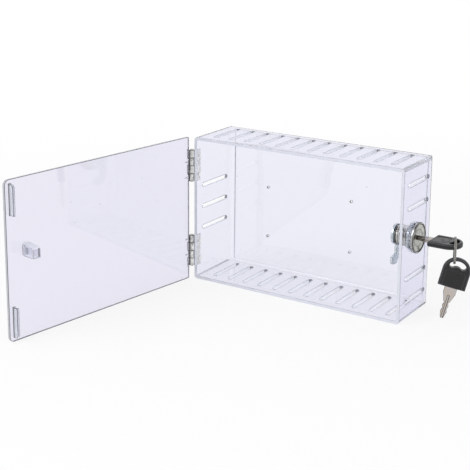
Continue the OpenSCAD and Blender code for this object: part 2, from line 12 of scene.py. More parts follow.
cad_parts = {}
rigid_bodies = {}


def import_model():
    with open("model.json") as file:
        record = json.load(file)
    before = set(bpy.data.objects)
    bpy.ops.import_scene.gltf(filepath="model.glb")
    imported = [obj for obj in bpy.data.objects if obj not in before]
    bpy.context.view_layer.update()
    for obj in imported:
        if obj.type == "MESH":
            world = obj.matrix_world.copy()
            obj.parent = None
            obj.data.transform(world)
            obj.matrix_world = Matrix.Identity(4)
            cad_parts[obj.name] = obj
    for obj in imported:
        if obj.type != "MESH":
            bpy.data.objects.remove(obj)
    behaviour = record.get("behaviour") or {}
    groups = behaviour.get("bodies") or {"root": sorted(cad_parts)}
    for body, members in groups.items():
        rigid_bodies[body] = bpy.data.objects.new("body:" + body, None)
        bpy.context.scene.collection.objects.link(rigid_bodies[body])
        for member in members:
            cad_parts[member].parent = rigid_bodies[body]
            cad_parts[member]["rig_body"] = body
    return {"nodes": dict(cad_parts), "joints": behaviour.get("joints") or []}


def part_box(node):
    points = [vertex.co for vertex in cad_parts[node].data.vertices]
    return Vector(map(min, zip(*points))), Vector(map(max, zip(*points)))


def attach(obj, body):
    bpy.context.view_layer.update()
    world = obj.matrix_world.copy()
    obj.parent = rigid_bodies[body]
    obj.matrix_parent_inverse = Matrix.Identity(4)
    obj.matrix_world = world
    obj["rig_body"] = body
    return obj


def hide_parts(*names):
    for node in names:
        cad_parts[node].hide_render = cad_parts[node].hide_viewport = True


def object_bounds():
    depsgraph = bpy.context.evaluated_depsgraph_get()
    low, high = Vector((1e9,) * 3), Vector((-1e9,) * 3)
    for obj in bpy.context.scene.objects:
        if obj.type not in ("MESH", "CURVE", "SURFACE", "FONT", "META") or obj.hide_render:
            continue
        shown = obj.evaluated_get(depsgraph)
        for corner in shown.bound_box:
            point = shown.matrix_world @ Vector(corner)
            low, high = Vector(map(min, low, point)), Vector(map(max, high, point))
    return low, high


bl_info = {
    "name": "Clear guard box with cam lock",
    "version": (1, 0, 0),
    "blender": (4, 5, 0),
    "location": "3D View > Sidebar > Guard Box",
    "description": "Dresses the packed guard box with plastics, plated metals, keys and a plain studio",
    "category": "Object",
}

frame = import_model()
CAD_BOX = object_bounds()
MM = 0.001
HINGE = next(Vector(joint["pos_m"]) for joint in frame["joints"] if joint["name"] == "door_swing")

# A CAD mesh is welded and its flat faces are joined before its creases are rounded.
WELD = 0.0005 * MM
FLAT = math.radians(0.4)
CREASE = math.radians(34)
ROUND_STEPS = 2

# SKIN is how far a point may lie off a face and still belong to it. The part of a face's unit normal
# along an axis tells how it stands: below ALONG it runs along the axis, above LEANING it leans to it,
# above FACING it faces it and above SQUARE it does so squarely.
SKIN = 0.05 * MM
ALONG, LEANING, FACING, SQUARE = 0.1, 0.3, 0.5, 0.9

# The case's walls, the depth of the bend at its back, whose last facets lean 4.4 to 12 degrees from
# the back panel, and the case's faces by the number of their material.
WALL = 2.2 * MM
BACK_BEND = 5 * MM
BEND_FOOT = (-0.997, -0.978)
# Faces other than CLEAR ones take paler copies of the clear plastic, painted light in place of the light
# that the rims, slot walls, slot ends and bend catch.
CLEAR, RIM, SLOT_WALL, SLOT_END, BEND = range(5)

# The lock, whose axis runs along X through the case's right wall, with its barrel inside.
LOCK_LOW, LOCK_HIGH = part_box("lock_body")
LOCK_MIDDLE = (LOCK_LOW + LOCK_HIGH) / 2
OUTER_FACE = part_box("case")[1].x
BARREL_RADIUS = 7.5 * MM
BARREL_FLAT = 6.6 * MM
BARREL_LENGTH = 13.5 * MM
THREAD_PITCH = 1.5 * MM
THREAD_DEPTH = 0.4 * MM
THREAD_STEPS = 64
THREAD_RUNOUT = THREAD_STEPS / 8

# The floor's side, how far it lies under the box, and the distances from the origin between which its
# paper fades to white.
FLOOR_SIDE = 8.0
FLOOR_GAP = 0.2 * MM
FLOOR_FADE = (0.15, 0.7)

# The two soft lights, and the dark cards by their place from the lock's middle, width and height, all
# in metres.
LARGE_LIGHT_PLACE, LARGE_LIGHT_SIDE = (-0.55, -1.0, 1.05), 1.0
SMALL_LIGHT_PLACE, SMALL_LIGHT_SIDE = (1.1, -0.7, 0.55), 0.7
FLAGS = {
    "upper flag": ((-0.19, -0.1, 0.33), 0.42, 0.07),
    "front flag": ((-0.19, -0.28, 0.25), 0.42, 0.05),
    "lock flag": ((0.085, 0.125, -0.02), 0.02, 0.07),
    "head flag": ((0.2, 0.3, 0.12), 0.26, 0.12),
}
CARD_BLACK, CARD_TOOTH = "202022", "2A2A2C"
WHITE = (1, 1, 1, 1)

# The middle of a noise's range, where nearly all of its values lie.
MIDDLE = (0.3, 0.7)


def linear(code):
    """Turn an sRGB hex colour such as E5E3EE into linear red, green and blue."""
    parts = [int(code[i : i + 2], 16) / 255 for i in (0, 2, 4)]
    return tuple(p / 12.92 if p <= 0.04045 else ((p + 0.055) / 1.055) ** 2.4 for p in parts)


def colour(name, description, code):
    """A colour that the user can change, with its default given as sRGB hex."""
    return FloatVectorProperty(
        name=name,
        description=description,
        subtype="COLOR",
        size=3,
        min=0,
        max=1,
        default=linear(code),
    )


def length(name, description, millimetres):
    """A length that the user can change, with its default given in millimetres."""
    return FloatProperty(
        name=name,
        description=description,
        unit="LENGTH",
        min=0,
        precision=5,
        default=millimetres * MM,
    )


def angle(name, description, degrees):
    """An angle that the user can change, with its default given in degrees."""
    default = math.radians(degrees)
    return FloatProperty(name=name, description=description, unit="ROTATION", default=default)


def share(name, description, default):
    """A share from 0 to 1 that the user can change."""
    return FloatProperty(
        name=name, description=description, subtype="FACTOR", min=0, max=1, default=default
    )


def strength(name, description, default, unit="NONE"):
    """A strength of 0 or more that the user can change."""
    return FloatProperty(name=name, description=description, unit=unit, min=0, default=default)


class GuardBoxPlastic(PropertyGroup):
    """Sizes and colours of the clear mouldings."""

    case_tint: colour("Case tint", "Tint that light takes on through the case's wall", "F4F4FD")
    door_tint: colour("Door tint", "Tint that light takes on through the door", "EFEEF9")
    # Painted light: the case's rims, slot ends and bend and the catch block's top take this pale tint on
    # the share of their light that does not go on through.
    painted_edge_tint: colour("Edge tint", "Pale glow of the moulded edges and corners", "E9ECF7")
    edge_clarity: share("Edge clarity", "Share of the light that goes on through an edge", 0.2)
    end_clarity: share("Slot end clarity", "Share of the light that goes on at a slot's ends", 0.65)
    bend_clarity: share("Bend clarity", "Share of the light that goes on through a bend", 0.5)
    door_edge_clarity: share("Door edge clarity", "Share that goes on at the door's edges", 0.5)
    # Painted light: the slots' long walls and the door's outer edges take this pale tint on the share
    # that does not go on through.
    painted_slot_tint: colour("Slot tint", "Pale glow of the slots' walls and the door's edges", "F4F7FF")
    # Painted glow: the slots' walls and the catch block's top glow, though they are no lamp.
    slot_painted_glow: strength("Slot glow", "Light caught from inside by slots and the block's top", 0.12)
    block_tint: colour("Block tint", "Tint that light takes on through the catch block", "F4F5FC")
    block_clarity: share("Block clarity", "Share of the light that goes on through the block", 0.92)
    # Painted shade: a dark line on the door's rounded edges, in place of the dark that they reflect.
    painted_line_tint: colour("Line tint", "Dark line along the door's polished edges", "62636E")
    line_clarity: share("Line clarity", "Share of the light that goes on through that line", 0.3)
    depth_tint: colour("Depth tint", "Colour that long paths inside the plastic turn to", "9A9CC0")
    density: strength("Depth density", "How fast the plastic darkens with depth, per metre", 22)
    haze: share("Haze", "Roughness of the polished faces", 0.02)
    edge_round: length("Edge rounding", "Radius on the edges of the case and the door", 0.3)
    block_round: length("Block rounding", "Radius on the edges of the catch block", 0.25)


class GuardBoxMetal(PropertyGroup):
    """Sizes and colours of the lock and the hinges."""

    chrome: colour("Chrome", "Bright chrome plate on the lock's head, barrel and plug", "B4B4B0")
    nickel: colour("Nickel", "Tumbled nickel plate on the hinges", "D2D2D0")
    zinc: colour("Zinc", "Clear zinc plate on the cam, screw, washers and nut", "D3DBE2")
    steel: colour("Spring steel", "Bright drawn wire of the key ring and the springs", "9A9894")
    brass: colour("Brass", "Stamped brass of the wafers", "C8A961")
    # Painted glow on the hinge plate's side that lies on the case, and on the rivets and studs, though
    # they are no lamp.
    bedded_painted_glow: strength("Bedded glow", "Light that the wall brings to the plate on it", 0.5)
    # Painted shade: the rounded edges of the chrome, nickel and zinc take a darker copy of their metal.
    radius_painted_shade: share("Radius shade", "Shade of the rounded edges beside the faces", 0.16)
    head_round: length("Head rounding", "Radius on the edges of the lock's head", 0.33)
    nut_round: length("Nut rounding", "Radius on the edges of the lock's nut", 0.4)
    plate_round: length("Plate rounding", "Radius on the hinges, plug, cam and screw", 0.16)


class GuardBoxKeys(PropertyGroup):
    """Sizes and colours of the two keys."""

    bow: colour("Bow", "Moulded black plastic of the bows", "0B0B0D")
    blade: colour("Blade", "Nickelled brass of the blades", "BDB6B2")
    # Painted shade: the blades' rounded edges take a darker copy of the blade metal.
    blade_edge_painted_shade: share("Blade edge", "Shade of the cut edges beside the faces", 0.18)
    # Painted highlight: the bows' rounded edges take a paler copy of the black.
    bow_edge_painted_highlight: strength("Bow edge", "How many times paler the rubbed edges are", 10)
    bow_round: length("Bow rounding", "Radius on the edges of the bows", 0.3)
    blade_round: length("Blade rounding", "Radius on the edges of the blades", 0.21)


class GuardBoxStudio(PropertyGroup):
    """The floor, the light and the camera."""

    paper: colour("Paper", "Plain pale floor", "F7F7F9")
    sky: strength("Sky", "Strength of the even light from all round", 0.78)
    key_power: strength("Key light", "Power of the large soft light", 6.5, "POWER")
    fill_power: strength("Fill light", "Power of the small soft light", 2, "POWER")
    camera_place: FloatVectorProperty(
        name="Camera place",
        description="Where the camera stands",
        subtype="TRANSLATION",
        unit="LENGTH",
        size=3,
        precision=4,
        default=(0.39579, -0.74287, 0.24853),
    )
    yaw: angle("Yaw", "Turn to the left", 32.709)
    pitch: angle("Pitch", "Tilt downwards", 13.108)
    roll: angle("Roll", "Roll of the view", 0.429)
    lens: FloatProperty(
        name="Lens", description="Focal length in millimetres", min=10, default=89.568
    )
    rise: FloatProperty(name="Rise", description="Vertical shift of the picture", default=-0.20049)


# Materials


def add_node(material, kind, settings=None, inputs=None):
    """Add one node, with settings by name and inputs by name or number, as a value or a socket."""
    tree = material.node_tree
    node = tree.nodes.new(kind)
    for name, value in (settings or {}).items():
        setattr(node, name, value)
    for name, value in (inputs or {}).items():
        if isinstance(value, NodeSocket):
            tree.links.new(value, node.inputs[name])
        else:
            node.inputs[name].default_value = value
    return node


def opaque(rgb):
    """A linear colour with full alpha."""
    return (*rgb[:3], 1)


def shade(rgb, factor):
    """A linear colour made lighter or darker."""
    return tuple(min(1, part * factor) for part in rgb[:3])


def new_material(name, rgb):
    """An empty node material, its viewport colour and its object coordinates in metres."""
    material = bpy.data.materials.new(name)
    material.use_nodes = True
    material.node_tree.nodes.clear()
    material.diffuse_color = opaque(rgb)
    return material, add_node(material, "ShaderNodeTexCoord").outputs["Object"]


def pattern(material, place, size_mm, stretch=(1, 1, 1), detail=2.0):
    """Soft noise whose features are size_mm across, longer along an axis where stretch is above 1."""
    squeezed = {"Vector": place, "Scale": tuple(1 / s for s in stretch)}
    where = add_node(material, "ShaderNodeMapping", {"vector_type": "POINT"}, squeezed).outputs[0]
    sized = {"Vector": where, "Scale": 1 / (size_mm * MM), "Detail": detail}
    return add_node(material, "ShaderNodeTexNoise", None, sized).outputs["Fac"]


def levels(value, low, high, into=MIDDLE):
    """Inputs that map a value between the two of into to one between low and high."""
    return {"Value": value, "From Min": into[0], "From Max": into[1], "To Min": low, "To Max": high}


def patches(material, place, size_mm, detail, low=0.0, high=1.0, into=MIDDLE, stretch=(1, 1, 1)):
    """Noise from low to high, which is flat at both wherever it lies outside the two of into."""
    noise = pattern(material, place, size_mm, stretch, detail)
    return add_node(material, "ShaderNodeMapRange", None, levels(noise, low, high, into)).outputs[0]


def finish_with(material, volume=None, **inputs):
    """End a material in a Principled shader, with its sockets by name, and a volume if it has one."""
    named = {key.replace("_", " "): value for key, value in inputs.items()}
    shader = add_node(material, "ShaderNodeBsdfPrincipled", None, named)
    ends = {"Surface": shader.outputs[0]}
    if volume is not None:
        ends["Volume"] = volume
    add_node(material, "ShaderNodeOutputMaterial", None, ends)
    return material


def worked(material, mask, tones, rough_by, rough, relief=None, depth_mm=0.0, **inputs):
    """Finish a material in two tones that mask mixes, its roughness and relief each by a pattern."""
    mixed = {0: mask, 6: opaque(tones[0]), 7: opaque(tones[1])}
    if relief is not None:
        dents = {"Height": relief, "Strength": 1.0, "Distance": depth_mm * MM}
        inputs["Normal"] = add_node(material, "ShaderNodeBump", None, dents).outputs[0]
    return finish_with(
        material,
        Base_Color=add_node(material, "ShaderNodeMix", {"data_type": "RGBA"}, mixed).outputs[2],
        Roughness=add_node(material, "ShaderNodeMapRange", None, levels(rough_by, *rough)).outputs[0],
        **inputs,
    )


def clear_polycarbonate_moulded(tint_rgb, clarity=1.0, haze_gain=1.0, glow=0.0):
    """Clear polycarbonate, moulded in a polished tool, or its edges painted paler where clarity is below
    1.
    """
    # Bright and see-through, faintly violet and deeper where light runs along the wall, with slow
    # flow waves about 30 mm long, a fine handling haze, level hairlines half a millimetre apart and
    # a dust nib up to a millimetre across every 16 mm. Where clarity is below 1, the rest is a pale
    # painted tint, and where glow is above 0 the wall glows as painted light, though it is no lamp.
    looks = bpy.context.scene.guard_box_plastic
    material, place = new_material("clear polycarbonate, polish moulded", tint_rgb)
    haze = looks.haze * haze_gain
    waves = pattern(material, place, 30, stretch=(1, 1, 1.6), detail=1.5)
    flow = {"Height": waves, "Strength": 1.0, "Distance": 0.05 * MM}
    normal = add_node(material, "ShaderNodeBump", None, flow).outputs[0]
    hairlines = pattern(material, place, 0.5, stretch=(30, 30, 1), detail=3)
    scratch = {"Height": hairlines, "Strength": 1.0, "Distance": 0.001 * MM, "Normal": normal}
    # A nib's core and edge lie this many spacings from its middle.
    nib_spacing, nib_core, nib_edge = 16 * MM, 0.018, 0.034
    cells = {"Vector": place, "Scale": 1 / nib_spacing}
    nibs = add_node(material, "ShaderNodeTexVoronoi", {"feature": "F1"}, cells).outputs["Distance"]
    settled = levels(nibs, 1.0, 0.0, into=(nib_core, nib_edge))
    dust = add_node(material, "ShaderNodeMapRange", None, settled).outputs[0]
    tints = {0: dust, 6: opaque(tint_rgb), 7: opaque(shade(tint_rgb, 0.35))}
    depth = {"Color": opaque(looks.depth_tint), "Density": looks.density}
    return finish_with(
        material,
        add_node(material, "ShaderNodeVolumeAbsorption", None, depth).outputs[0],
        Base_Color=add_node(material, "ShaderNodeMix", {"data_type": "RGBA"}, tints).outputs[2],
        Emission_Color=opaque(tint_rgb),
        Emission_Strength=glow,
        Roughness=patches(material, place, 22, 4, haze * 0.6, haze * 2.2),
        IOR=1.585,
        Transmission_Weight=clarity,
        Normal=add_node(material, "ShaderNodeBump", None, scratch).outputs[0],
    )


def tumbled_nickel(gain=1.0, glow=0.0):
    """Nickel plate on tumbled pressed steel, darker where gain paints shade, glowing as painted light
    where it beds on plastic.
    """
    # Soft grey metal with a faint warm cast, a grain of 0.4 mm from tumbling and darker handling
    # marks of 2.5 mm.
    looks = bpy.context.scene.guard_box_metal
    nickel = shade(looks.nickel, gain)
    material, place = new_material("nickel plate, tumbled", nickel)
    grain = pattern(material, place, 0.4, detail=3)
    return worked(
        material,
        mask=patches(material, place, 2.5, detail=4),
        tones=(shade(nickel, 0.55), shade(nickel, 1.3)),
        rough_by=grain,
        rough=(0.16, 0.36),
        relief=grain,
        depth_mm=0.01,
        Metallic=1.0,
        Emission_Color=opaque(nickel),
        Emission_Strength=glow,
    )


def bright_chrome(gain=1.0):
    """Chrome plate on a die-cast lock, buffed, or a darker copy painted as shade on its small radii."""
    # Mirror bright and nearly neutral, turned, so that its round faces throw wedges of light, with
    # buffing lines of 0.3 mm and dull smears of 3 mm.
    looks = bpy.context.scene.guard_box_metal
    chrome = shade(looks.chrome, gain)
    material, place = new_material("chrome plate, buffed", chrome)
    smears = patches(material, place, 3, detail=4)
    round_axis = {"direction_type": "RADIAL", "axis": "X"}
    return worked(
        material,
        mask=smears,
        tones=(shade(chrome, 0.65), shade(chrome, 1.35)),
        rough_by=smears,
        rough=(0.1, 0.2),
        relief=pattern(material, place, 0.3, stretch=(1, 1, 12), detail=3),
        depth_mm=0.004,
        Metallic=1.0,
        Anisotropic=0.7,
        Tangent=add_node(material, "ShaderNodeTangent", round_axis).outputs[0],
    )


def clear_zinc_plate(gain=1.0):
    """Clear zinc plate on stamped steel, or a darker copy painted as shade on its edges."""
    # Blue-grey with a satin sheen, faint spangle patches of 1.5 mm and drag lines of 0.35 mm.
    looks = bpy.context.scene.guard_box_metal
    zinc = shade(looks.zinc, gain)
    material, place = new_material("zinc plate on stamped steel", zinc)
    spangle = patches(material, place, 1.5, detail=3)
    return worked(
        material,
        mask=spangle,
        tones=(shade(zinc, 0.55), shade(zinc, 1.2)),
        rough_by=spangle,
        rough=(0.16, 0.36),
        relief=pattern(material, place, 0.35, stretch=(1, 1, 10), detail=3),
        depth_mm=0.006,
        Metallic=1.0,
    )


def nickelled_brass_blade(gain=1.0):
    """Nickel plate on a milled brass key blank, or a darker copy painted as shade on its edges."""
    # Warm grey, with level cutter lines of 0.25 mm and brass showing faintly where it wears.
    looks = bpy.context.scene.guard_box_keys
    brass = bpy.context.scene.guard_box_metal.brass
    blade = shade(looks.blade, gain)
    material, place = new_material("nickel plate on milled brass", blade)
    cutter = pattern(material, place, 0.25, stretch=(8, 8, 1), detail=2)
    return worked(
        material,
        mask=patches(material, place, 2.2, detail=5, high=0.35, into=(0.5, 0.75)),
        tones=(blade, shade(brass, gain)),
        rough_by=cutter,
        rough=(0.2, 0.4),
        relief=cutter,
        depth_mm=0.012,
        Metallic=1.0,
    )


def bright_spring_wire():
    """Bright drawn spring wire."""
    # Smooth grey wire with draw lines too fine to see one by one, drawn here 0.2 mm wide.
    steel = bpy.context.scene.guard_box_metal.steel
    material, place = new_material("spring steel, bright drawn", steel)
    drawn = (1, 1, 6)
    return worked(
        material,
        mask=patches(material, place, 0.2, detail=2, stretch=drawn),
        tones=(shade(steel, 0.7), shade(steel, 1.15)),
        rough_by=pattern(material, place, 0.2, stretch=drawn, detail=2),
        rough=(0.14, 0.3),
        Metallic=1.0,
    )


def stamped_brass():
    """Stamped brass, left bare."""
    # Yellow metal with dull oxide patches of 1 mm.
    brass = bpy.context.scene.guard_box_metal.brass
    material, place = new_material("brass, stamped", brass)
    oxide = patches(material, place, 1, detail=3)
    return worked(
        material,
        mask=oxide,
        tones=(brass, shade(brass, 0.6)),
        rough_by=oxide,
        rough=(0.25, 0.45),
        Metallic=1.0,
    )


def moulded_black_abs(gain=1.0):
    """Black ABS, moulded in a spark-eroded tool, or a paler copy painted as highlight on its edges."""
    # Near black with a soft sheen, a pebbled texture of 0.35 mm and paler rubbed patches of 4 mm.
    looks = bpy.context.scene.guard_box_keys
    bow = shade(looks.bow, gain)
    material, place = new_material("black ABS, fine texture", bow)
    rubbed = patches(material, place, 4, detail=4)
    return worked(
        material,
        mask=rubbed,
        tones=(bow, shade(bow, 1.5)),
        rough_by=rubbed,
        rough=(0.26, 0.4),
        relief=pattern(material, place, 0.35, detail=2),
        depth_mm=0.02,
        IOR=1.54,
        Specular_IOR_Level=0.38,
    )


def matt(material, mask, tones):
    """A matt surface in two tones that mask mixes."""
    mixed = {0: mask, 6: opaque(tones[0]), 7: opaque(tones[1])}
    tone = add_node(material, "ShaderNodeMix", {"data_type": "RGBA"}, mixed).outputs[2]
    return add_node(material, "ShaderNodeBsdfDiffuse", None, {"Color": tone}).outputs[0]


def black_studio_card():
    """Black card, uncoated."""
    # Near black, with a tooth of 2 mm that breaks up its reflections.
    black, tooth = linear(CARD_BLACK), linear(CARD_TOOTH)
    material, place = new_material("black studio card", black)
    surface = matt(material, patches(material, place, 2, detail=2), (black, tooth))
    add_node(material, "ShaderNodeOutputMaterial", None, {"Surface": surface})
    return material


def white_studio_paper(paper):
    """White background paper, which fades into plain white away from the middle."""
    # Pale and matt, with fibres of 1.2 mm that barely show.
    material, place = new_material("white studio paper", paper)
    fibres = patches(material, place, 1.2, detail=3)
    surface = matt(material, fibres, (paper, shade(paper, 0.98)))
    white = add_node(material, "ShaderNodeEmission", None, {"Color": WHITE, "Strength": 1.0})
    away = add_node(material, "ShaderNodeVectorMath", {"operation": "LENGTH"}, {0: place})
    soft = {"interpolation_type": "SMOOTHERSTEP"}
    rim = levels(away.outputs["Value"], 0.8, 1.0, into=FLOOR_FADE)
    fade = add_node(material, "ShaderNodeMapRange", soft, rim).outputs[0]
    ends = {0: fade, 1: surface, 2: white.outputs[0]}
    blend = add_node(material, "ShaderNodeMixShader", None, ends)
    add_node(material, "ShaderNodeOutputMaterial", None, {"Surface": blend.outputs[0]})
    return material


# Pieces


def shown(name, mesh, materials):
    """An object of the mesh, shaded smooth up to its creases."""
    mesh.polygons.foreach_set("use_smooth", [True] * len(mesh.polygons))
    mesh.set_sharp_from_angle(angle=CREASE)
    for material in materials:
        mesh.materials.append(material)
    piece = bpy.data.objects.new(name, mesh)
    bpy.context.scene.collection.objects.link(piece)
    return piece


def softened(
    name, node, radius, materials, kind=None, lined=False, slide=True, offset="OFFSET", fit=None
):
    """A copy of a CAD solid with its sharp edges rounded, which stands for it and rides on its body."""
    # kind gives the number of a face's material from the face's centre and normal. Where lined is
    # true, the rounded edges take the last material, which paints shade or highlight on them, and
    # else their neighbour's. slide and offset are set where the bevel's usual ones leave slivers or
    # spikes. fit moves a point of the solid. A radius of 0 leaves the edges as they are.
    source = frame["nodes"][node]
    cage = bmesh.new()
    cage.from_mesh(source.data)
    bmesh.ops.remove_doubles(cage, verts=cage.verts, dist=WELD)
    bmesh.ops.dissolve_limit(cage, angle_limit=FLAT, verts=cage.verts, edges=cage.edges)
    if fit:
        for corner in cage.verts:
            corner.co = fit(corner.co)
    points = [v.co.copy() for v in cage.verts]
    cage.verts.index_update()
    faces = [[v.index for v in f.verts] for f in cage.faces]
    kinds = [int(kind(f.calc_center_median(), f.normal)) if kind else 0 for f in cage.faces]
    cage.free()
    if not faces:
        raise RuntimeError(f"{node} has no faces")
    mesh = bpy.data.meshes.new(name)
    mesh.from_pydata(points, [], faces)
    piece = shown(name, mesh, materials)
    mesh.polygons.foreach_set("material_index", kinds)
    if radius > 0:
        bevel = piece.modifiers.new("rounded edges", "BEVEL")
        bevel.width = radius
        bevel.offset_type = offset
        bevel.segments = ROUND_STEPS
        bevel.limit_method = "ANGLE"
        bevel.angle_limit = CREASE
        bevel.use_clamp_overlap = False
        bevel.harden_normals = True
        bevel.loop_slide = slide
        bevel.material = len(materials) - 1 if lined else -1
    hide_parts(node)
    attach(piece, source["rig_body"])


def rolled_thread(name, material):
    """The ridge that winds round the lock's barrel behind the wall and dips under its two flats."""
    # Its section is a trapezium, whose foot and land are given as half widths in pitches. The foot is
    # sunk in the barrel, and the land stays just inside the CAD solid. At both ends it runs out.
    foot, land = 0.48, 0.14
    sunk = 0.1 * MM
    largest = BARREL_RADIUS - 0.02 * MM
    to_flat = BARREL_FLAT - 0.03 * MM
    least_rise = 0.05
    margin = 0.6 * THREAD_PITCH
    start = OUTER_FACE - BARREL_LENGTH + margin
    count = int(THREAD_STEPS * (OUTER_FACE - WALL - margin - start) / THREAD_PITCH)
    thread = bmesh.new()
    rows = []
    for step in range(count + 1):
        turn = math.tau * step / THREAD_STEPS
        reach = min(largest, to_flat / max(abs(math.sin(turn)), ALONG))
        root = min(BARREL_RADIUS - THREAD_DEPTH - sunk, reach - 2 * sunk)
        rise = min(1, max(least_rise, min(step, count - step) / THREAD_RUNOUT))
        crest = root + (reach - root) * rise
        row = []
        for along, radius in ((-foot, root), (-land, crest), (land, crest), (foot, root)):
            x = start + THREAD_PITCH * (step / THREAD_STEPS + along)
            y = LOCK_MIDDLE.y + radius * math.cos(turn)
            z = LOCK_MIDDLE.z + radius * math.sin(turn)
            row.append(thread.verts.new((x, y, z)))
        rows.append(row)
    for before, after in zip(rows, rows[1:]):
        for side in range(4):
            onward = (side + 1) % 4
            thread.faces.new((before[side], before[onward], after[onward], after[side]))
    thread.faces.new(rows[0][::-1])
    thread.faces.new(rows[-1])
    bmesh.ops.recalc_face_normals(thread, faces=thread.faces)
    mesh = bpy.data.meshes.new(name)
    thread.to_mesh(mesh)
    thread.free()
    ridge = shown(name, mesh, (material,))
    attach(ridge, frame["nodes"]["lock_body"]["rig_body"])


def repaint(node, material):
    """Give a CAD solid that keeps its own shape a better material."""
    solid = frame["nodes"][node]
    if not solid.material_slots:
        solid.data.materials.append(material)
    for spot in solid.material_slots:
        spot.material = material


class GUARDBOX_OT_case(Operator):
    """Case: the clear moulding that the wall carries"""

    bl_idname = "guard_box.case"
    bl_label = "Case"

    def execute(self, context):
        looks = context.scene.guard_box_plastic
        low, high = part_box("case")

        def kind(centre, normal):
            """The number of a face's material."""
            if centre.y < low.y + SKIN:
                return RIM
            for across in (0, 2):
                depth = min(centre[across] - low[across], high[across] - centre[across])
                inside = SKIN < depth < WALL - SKIN and centre.y < high.y - BACK_BEND
                if inside and abs(normal[across]) < ALONG:
                    return SLOT_WALL if abs(normal.y) < LEANING else SLOT_END
            corner = abs(normal.y) < ALONG and min(abs(normal.x), abs(normal.z)) > ALONG
            foot = BEND_FOOT[0] < normal.y < BEND_FOOT[1]
            return BEND if corner or foot else CLEAR

        edge, slot = looks.painted_edge_tint, looks.painted_slot_tint
        # In the order of CLEAR, RIM, SLOT_WALL, SLOT_END and BEND. All but CLEAR are paler copies,
        # painted light where the rims, slots and bend catch the white room.
        materials = (
            clear_polycarbonate_moulded(looks.case_tint),
            clear_polycarbonate_moulded(edge, looks.edge_clarity, haze_gain=6),
            clear_polycarbonate_moulded(slot, looks.edge_clarity, haze_gain=4, glow=looks.slot_painted_glow),
            clear_polycarbonate_moulded(edge, looks.end_clarity, haze_gain=4),
            clear_polycarbonate_moulded(edge, looks.bend_clarity, haze_gain=4),
        )
        softened(
            "case_moulding",
            "case",
            looks.edge_round,
            materials,
            kind,
            slide=False,
        )
        return {"FINISHED"}


class GUARDBOX_OT_door(Operator):
    """Door: the clear panel and its catch block"""

    bl_idname = "guard_box.door"
    bl_label = "Door"

    def execute(self, context):
        looks = context.scene.guard_box_plastic
        # The door's outer edges are painted pale, and its rounded edges are painted with the dark line.
        panel = (
            clear_polycarbonate_moulded(looks.door_tint),
            clear_polycarbonate_moulded(looks.painted_slot_tint, looks.door_edge_clarity, haze_gain=6),
            clear_polycarbonate_moulded(looks.painted_line_tint, looks.line_clarity, haze_gain=6),
        )
        edge, glow = looks.painted_edge_tint, looks.slot_painted_glow
        # rim is the catch block's top, painted pale with a painted glow.
        rim = clear_polycarbonate_moulded(edge, looks.edge_clarity, haze_gain=6, glow=glow)
        block = clear_polycarbonate_moulded(looks.block_tint, looks.block_clarity, haze_gain=2)
        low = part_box("door_panel")[0]
        along = Vector((low.x - HINGE.x, low.y - HINGE.y, 0)).normalized()

        def narrow(_centre, normal):
            """True on the door's outer edges, which take the pale slot tint as painted light."""
            return max(abs(normal.dot(along)), abs(normal.z)) > LEANING

        softened(
            "door_moulding",
            "door_panel",
            looks.edge_round,
            panel,
            narrow,
            lined=True,
        )

        def top(_centre, normal):
            """True on the block's upper side, which takes the pale edge tint and glow as painted light.
            """
            return normal.z > FACING

        softened(
            "catch_moulding",
            "catch_block",
            looks.block_round,
            (block, rim),
            top,
        )
        return {"FINISHED"}


class GUARDBOX_OT_hinges(Operator):
    """Hinges: leaves, pins, rivets and studs"""

    bl_idname = "guard_box.hinges"
    bl_label = "Hinges"

    def execute(self, context):
        looks = context.scene.guard_box_metal
        radius = looks.plate_round
        # The second nickel is darker, painted shade on the rounded edges; the third glows, painted light
        # on the side that lies on the case and on the rivets and studs.
        nickel = tumbled_nickel()
        dark = tumbled_nickel(looks.radius_painted_shade)
        painted_glow_nickel = tumbled_nickel(glow=looks.bedded_painted_glow)

        def beds(_centre, normal):
            """True on the side that lies on the case, which takes the painted glow."""
            return normal.x > SQUARE

        for place in ("upper", "lower"):
            leaf, metals = f"{place}_case_leaf", (nickel, painted_glow_nickel, dark)
            softened(f"{leaf}_plate", leaf, radius, metals, beds, lined=True)
            leaf, metals = f"{place}_door_leaf", (nickel, dark)
            softened(f"{leaf}_plate", leaf, radius, metals, lined=True)
            pin = f"{place}_hinge_pin"
            softened(f"{place}_pin_turned", pin, radius, (nickel,))
        softened("case_rivets_set", "case_leaf_rivets", radius, (painted_glow_nickel,))
        repaint("door_leaf_studs", painted_glow_nickel)
        return {"FINISHED"}


